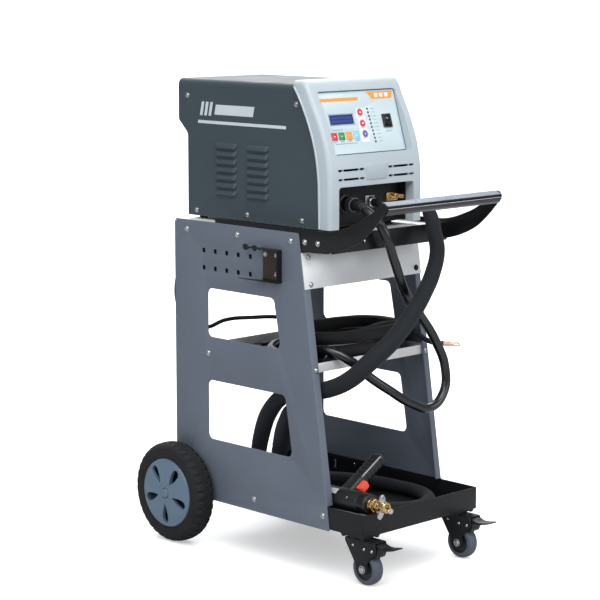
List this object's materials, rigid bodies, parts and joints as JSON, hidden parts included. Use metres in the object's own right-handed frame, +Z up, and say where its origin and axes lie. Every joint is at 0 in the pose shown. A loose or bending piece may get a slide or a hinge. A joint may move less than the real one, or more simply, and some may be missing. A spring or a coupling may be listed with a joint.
{
  "type": "spot welder on a service trolley",
  "caption": "Sheet-metal dent-repair spot welder fixed on a wheeled trolley with a push handle, shelf, tray, swivel casters, cables and a welding gun.",
  "frame": {"origin": "on the floor, under the middle of the bounding box", "axes": "+Z up; -Y is the front, where the control panel, push handle and casters are; +X is the right-hand side seen from the front"},
  "size_m": [0.4316, 0.66, 0.925],
  "materials": {
    "panel_grey": "textured grey-blue powder coat",
    "tray_black": "semi-gloss black powder coat",
    "frame_black": "semi-gloss black powder coat",
    "silver_sheet": "fine-textured silver sheet",
    "cover_slate": "satin slate-green paint",
    "bezel_grey": "fine-textured pale grey moulding",
    "panel_white": "satin printed foil on aluminium",
    "lcd_blue": "glossy dark blue window",
    "black_plastic": "satin black",
    "key_red": "satin red",
    "key_green": "satin green",
    "key_orange": "satin orange",
    "key_blue": "satin light blue",
    "key_purple": "satin purple",
    "steel": "bright zinc-plated",
    "brass": "machined",
    "tyre_rubber": "matt treaded rubber",
    "rim_blue": "satin slate-blue moulding",
    "caster_tread": "smooth blue-grey tread",
    "cable_black": "glossy black cable jacket",
    "sleeve_navy": "braided dark navy sleeve",
    "rubber_black": "matt",
    "grip_black": "glossy black profile",
    "trigger_red": "satin red-orange",
    "core_steel": "dark laminated steel",
    "copper": "varnished copper winding",
    "board_green": "green solder mask"
  },
  "bodies": {
    "root": {"base_pan": "black_plastic", "bottom_tray": "tray_black", "brass_terminal": "brass", "caster_plate_left": "steel", "caster_plate_right": "steel", "connector_plate": "black_plastic", "control_board": "board_green", "control_panel": "panel_white", "control_socket": "steel", "cover_shell": "cover_slate", "front_bezel": "bezel_grey", "front_fascia": "silver_sheet", "ground_cable": "cable_black", "gun_body": "black_plastic", "gun_electrode_holder": "brass", "handle_frame": "frame_black", "handle_grip": "grip_black", "hose_sleeve": "sleeve_navy", "lcd_display": "lcd_blue", "machine_foot_rear_left": "rubber_black", "machine_foot_rear_right": "rubber_black", "machine_foot_front_left": "rubber_black", "machine_foot_front_right": "rubber_black", "middle_shelf": "silver_sheet", "power_cord": "cable_black", "power_switch_frame": "black_plastic", "rear_axle": "steel", "rear_panel": "cover_slate", "side_panel_left": "panel_grey", "side_panel_right": "panel_grey", "tool_bracket": "frame_black", "top_deck": "silver_sheet", "transformer_coil": "copper", "transformer_core": "core_steel", "weld_cable": "cable_black", "weld_output_socket": "black_plastic"},
    "wheel_left": {"tyre_left": "tyre_rubber", "wheel_rim_left": "rim_blue", "hub_cap_left": "rim_blue"},
    "caster_left": {"caster_fork_left": "frame_black", "caster_axle_left": "steel"},
    "caster_roller_left": {"caster_wheel_left": "caster_tread"},
    "caster_brake_left": {"brake_pedal_left": "frame_black"},
    "wheel_right": {"tyre_right": "tyre_rubber", "wheel_rim_right": "rim_blue", "hub_cap_right": "rim_blue"},
    "caster_right": {"caster_fork_right": "frame_black", "caster_axle_right": "steel"},
    "caster_roller_right": {"caster_wheel_right": "caster_tread"},
    "caster_brake_right": {"brake_pedal_right": "frame_black"},
    "rocker": {"power_rocker": "black_plastic"},
    "mode_key_red_cap": {"mode_key_red": "key_red"},
    "mode_key_green_cap": {"mode_key_green": "key_green"},
    "mode_key_orange_cap": {"mode_key_orange": "key_orange"},
    "mode_key_blue_cap": {"mode_key_blue": "key_blue"},
    "up_button_cap": {"up_button": "key_red"},
    "down_button_cap": {"down_button": "key_red"},
    "select_button_cap": {"select_button": "key_purple"},
    "trigger": {"gun_trigger": "trigger_red"},
    "fan": {"fan_rotor": "black_plastic"}
  },
  "joints": [
    {"name": "wheel_spin_left", "type": "hinge", "parent": "root", "child": "wheel_left", "pos_m": [-0.187, 0.23, 0.1], "axis": [1, 0, 0], "continuous": true},
    {"name": "caster_swivel_left", "type": "hinge", "parent": "root", "child": "caster_left", "pos_m": [-0.132, -0.238, 0.09], "axis": [0, 0, 1], "continuous": true},
    {"name": "caster_spin_left", "type": "hinge", "parent": "caster_left", "child": "caster_roller_left", "pos_m": [-0.132, -0.254, 0.0315], "axis": [1, 0, 0], "continuous": true},
    {"name": "caster_brake_hinge_left", "type": "hinge", "parent": "caster_left", "child": "caster_brake_left", "pos_m": [-0.132, -0.268, 0.074], "axis": [1, 0, 0], "range_deg": [0, 16]},
    {"name": "wheel_spin_right", "type": "hinge", "parent": "root", "child": "wheel_right", "pos_m": [0.187, 0.23, 0.1], "axis": [1, 0, 0], "continuous": true},
    {"name": "caster_swivel_right", "type": "hinge", "parent": "root", "child": "caster_right", "pos_m": [0.132, -0.238, 0.09], "axis": [0, 0, 1], "continuous": true},
    {"name": "caster_spin_right", "type": "hinge", "parent": "caster_right", "child": "caster_roller_right", "pos_m": [0.132, -0.254, 0.0315], "axis": [1, 0, 0], "continuous": true},
    {"name": "caster_brake_hinge_right", "type": "hinge", "parent": "caster_right", "child": "caster_brake_right", "pos_m": [0.132, -0.268, 0.074], "axis": [1, 0, 0], "range_deg": [0, 16]},
    {"name": "power_rocker_hinge", "type": "hinge", "parent": "root", "child": "rocker", "pos_m": [0.0679, -0.10458, 0.84374], "axis": [1, 0, 0], "range_deg": [0, 16]},
    {"name": "mode_key_red_press", "type": "slide", "parent": "root", "child": "mode_key_red_cap", "axis": [0, 0.9542, -0.2992], "range_m": [0, 0.0005], "stiffness_N_per_m": 900},
    {"name": "mode_key_green_press", "type": "slide", "parent": "root", "child": "mode_key_green_cap", "axis": [0, 0.9542, -0.2992], "range_m": [0, 0.0005], "stiffness_N_per_m": 900},
    {"name": "mode_key_orange_press", "type": "slide", "parent": "root", "child": "mode_key_orange_cap", "axis": [0, 0.9542, -0.2992], "range_m": [0, 0.0005], "stiffness_N_per_m": 900},
    {"name": "mode_key_blue_press", "type": "slide", "parent": "root", "child": "mode_key_blue_cap", "axis": [0, 0.9542, -0.2992], "range_m": [0, 0.0005], "stiffness_N_per_m": 900},
    {"name": "up_button_press", "type": "slide", "parent": "root", "child": "up_button_cap", "axis": [0, 0.9542, -0.2992], "range_m": [0, 0.0005], "stiffness_N_per_m": 900},
    {"name": "down_button_press", "type": "slide", "parent": "root", "child": "down_button_cap", "axis": [0, 0.9542, -0.2992], "range_m": [0, 0.0005], "stiffness_N_per_m": 900},
    {"name": "select_button_press", "type": "slide", "parent": "root", "child": "select_button_cap", "axis": [0, 0.9542, -0.2992], "range_m": [0, 0.0005], "stiffness_N_per_m": 900},
    {"name": "gun_trigger_pull", "type": "slide", "parent": "root", "child": "trigger", "axis": [0.0547, 0.9973, -0.0487], "range_m": [0, 0.004], "stiffness_N_per_m": 400},
    {"name": "fan_spin", "type": "hinge", "parent": "root", "child": "fan", "pos_m": [0, 0.24, 0.785], "axis": [0, 1, 0], "continuous": true}
  ]
}
